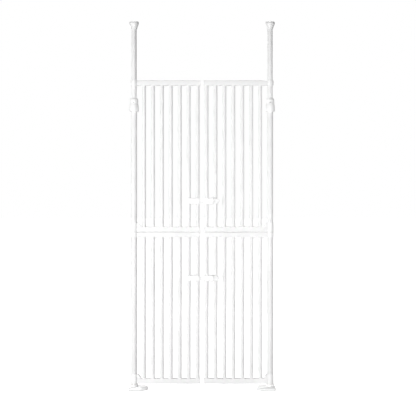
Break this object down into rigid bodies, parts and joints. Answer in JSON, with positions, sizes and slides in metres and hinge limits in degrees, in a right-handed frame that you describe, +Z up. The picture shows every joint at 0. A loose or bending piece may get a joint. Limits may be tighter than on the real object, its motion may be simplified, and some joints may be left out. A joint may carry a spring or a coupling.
{
  "type": "pet gate",
  "caption": "Tension-pole pet gate: telescopic poles jacked between floor and ceiling, with upper and lower pairs of barred swing leaves and slide latches.",
  "frame": {"origin": "on the floor, midway between the two poles", "axes": "+Z up, +X across the gate from the left pole to the right one, -Y towards the side that the latches face"},
  "size_m": [0.871, 0.092, 2.18],
  "materials": {
    "foot_plate": "satin moulded white plastic",
    "foot_pad": "matt grey rubber",
    "outer_tube": "white powder coat",
    "inner_tube": "white powder coat",
    "inner_tube_guide": "natural nylon",
    "pivot_washer": "natural nylon",
    "jack_nut": "satin moulded white plastic",
    "jack_stem": "satin moulded white plastic",
    "fixing_screw": "zinc plated",
    "ceiling_cup": "satin moulded white plastic",
    "ceiling_pad": "matt light grey rubber",
    "leaf_frame": "white powder coat",
    "hinge_sleeve": "satin moulded white plastic",
    "hinge_bracket": "satin moulded white plastic",
    "rail_cap": "satin moulded white plastic",
    "latch_housing": "satin moulded white plastic",
    "latch_bolt": "satin moulded white plastic",
    "latch_knob": "satin moulded white plastic",
    "latch_keeper": "satin moulded white plastic",
    "latch_clamp": "satin moulded white plastic",
    "clamp_screw": "zinc plated"
  },
  "bodies": {
    "poles": {"foot_plate_left": "foot_plate", "foot_pad_left": "foot_pad", "outer_tube_left": "outer_tube", "lower_pivot_washer_left": "pivot_washer", "middle_pivot_washer_left": "pivot_washer", "foot_plate_right": "foot_plate", "foot_pad_right": "foot_pad", "outer_tube_right": "outer_tube", "lower_pivot_washer_right": "pivot_washer", "middle_pivot_washer_right": "pivot_washer"},
    "jack_nut_left": {"jack_nut_left": "jack_nut"},
    "jack_stem_left": {"jack_stem_left": "jack_stem"},
    "fixing_screw_left": {"fixing_screw_left": "fixing_screw"},
    "inner_tube_left": {"inner_tube_left": "inner_tube", "inner_tube_guide_left": "inner_tube_guide", "ceiling_cup_left": "ceiling_cup", "ceiling_pad_left": "ceiling_pad"},
    "lower_left_leaf": {"lower_left_frame": "leaf_frame", "lower_left_top_sleeve": "hinge_sleeve", "lower_left_hinge_bracket": "hinge_bracket", "lower_left_top_cap": "rail_cap", "lower_left_bottom_cap": "rail_cap", "lower_latch_keeper": "latch_keeper", "lower_keeper_clamp": "latch_clamp", "lower_keeper_screw": "clamp_screw"},
    "upper_left_leaf": {"upper_left_frame": "leaf_frame", "upper_left_top_sleeve": "hinge_sleeve", "upper_left_hinge_bracket": "hinge_bracket", "upper_left_top_cap": "rail_cap", "upper_left_bottom_cap": "rail_cap", "upper_latch_keeper": "latch_keeper", "upper_keeper_clamp": "latch_clamp", "upper_keeper_screw": "clamp_screw"},
    "jack_nut_right": {"jack_nut_right": "jack_nut"},
    "jack_stem_right": {"jack_stem_right": "jack_stem"},
    "fixing_screw_right": {"fixing_screw_right": "fixing_screw"},
    "inner_tube_right": {"inner_tube_right": "inner_tube", "inner_tube_guide_right": "inner_tube_guide", "ceiling_cup_right": "ceiling_cup", "ceiling_pad_right": "ceiling_pad"},
    "lower_right_leaf": {"lower_right_frame": "leaf_frame", "lower_right_top_sleeve": "hinge_sleeve", "lower_right_hinge_bracket": "hinge_bracket", "lower_right_top_cap": "rail_cap", "lower_right_bottom_cap": "rail_cap", "lower_latch_housing": "latch_housing", "lower_housing_clamp": "latch_clamp", "lower_housing_screw": "clamp_screw"},
    "upper_right_leaf": {"upper_right_frame": "leaf_frame", "upper_right_top_sleeve": "hinge_sleeve", "upper_right_hinge_bracket": "hinge_bracket", "upper_right_top_cap": "rail_cap", "upper_right_bottom_cap": "rail_cap", "upper_latch_housing": "latch_housing", "upper_housing_clamp": "latch_clamp", "upper_housing_screw": "clamp_screw"},
    "upper_bolt": {"upper_latch_bolt": "latch_bolt", "upper_latch_knob": "latch_knob"},
    "lower_bolt": {"lower_latch_bolt": "latch_bolt", "lower_latch_knob": "latch_knob"}
  },
  "joints": [
    {"name": "jack_nut_turn_left", "type": "hinge", "parent": "poles", "child": "jack_nut_left", "pos_m": [-0.4035, 0, 1.67], "axis": [0, 0, -1], "range_deg": [0, 1440]},
    {"name": "jack_stem_rise_left", "type": "slide", "parent": "poles", "child": "jack_stem_left", "axis": [0, 0, 1], "range_m": [0, 0.0201]},
    {"name": "inner_tube_extend_left", "type": "slide", "parent": "jack_stem_left", "child": "inner_tube_left", "axis": [0, 0, 1], "range_m": [-0.25, 0.3]},
    {"name": "fixing_screw_turn_left", "type": "hinge", "parent": "jack_stem_left", "child": "fixing_screw_left", "pos_m": [-0.4035, -0.02, 1.7015], "axis": [0, -1, 0], "range_deg": [0, 1080]},
    {"name": "lower_left_leaf_swing", "type": "hinge", "parent": "poles", "child": "lower_left_leaf", "pos_m": [-0.4035, 0, 0.036], "axis": [0, 0, 1], "range_deg": [-90, 90]},
    {"name": "upper_left_leaf_swing", "type": "hinge", "parent": "poles", "child": "upper_left_leaf", "pos_m": [-0.4035, 0, 0.9348], "axis": [0, 0, 1], "range_deg": [-90, 90]},
    {"name": "jack_nut_turn_right", "type": "hinge", "parent": "poles", "child": "jack_nut_right", "pos_m": [0.4035, 0, 1.67], "axis": [0, 0, -1], "range_deg": [0, 1440]},
    {"name": "jack_stem_rise_right", "type": "slide", "parent": "poles", "child": "jack_stem_right", "axis": [0, 0, 1], "range_m": [0, 0.0201]},
    {"name": "inner_tube_extend_right", "type": "slide", "parent": "jack_stem_right", "child": "inner_tube_right", "axis": [0, 0, 1], "range_m": [-0.25, 0.3]},
    {"name": "fixing_screw_turn_right", "type": "hinge", "parent": "jack_stem_right", "child": "fixing_screw_right", "pos_m": [0.4035, -0.02, 1.7015], "axis": [0, -1, 0], "range_deg": [0, 1080]},
    {"name": "lower_right_leaf_swing", "type": "hinge", "parent": "poles", "child": "lower_right_leaf", "pos_m": [0.4035, 0, 0.036], "axis": [0, 0, 1], "range_deg": [-90, 90]},
    {"name": "upper_right_leaf_swing", "type": "hinge", "parent": "poles", "child": "upper_right_leaf", "pos_m": [0.4035, 0, 0.9348], "axis": [0, 0, 1], "range_deg": [-90, 90]},
    {"name": "upper_bolt_slide", "type": "slide", "parent": "upper_right_leaf", "child": "upper_bolt", "axis": [-1, 0, 0], "range_m": [-0.012, 0.015]},
    {"name": "lower_bolt_slide", "type": "slide", "parent": "lower_right_leaf", "child": "lower_bolt", "axis": [-1, 0, 0], "range_m": [-0.012, 0.015]}
  ],
  "couplings": [
    {"joint": "jack_stem_rise_left", "follows": "jack_nut_turn_left", "m_per_rad": 0.00079577},
    {"joint": "jack_stem_rise_right", "follows": "jack_nut_turn_right", "m_per_rad": 0.00079577}
  ]
}
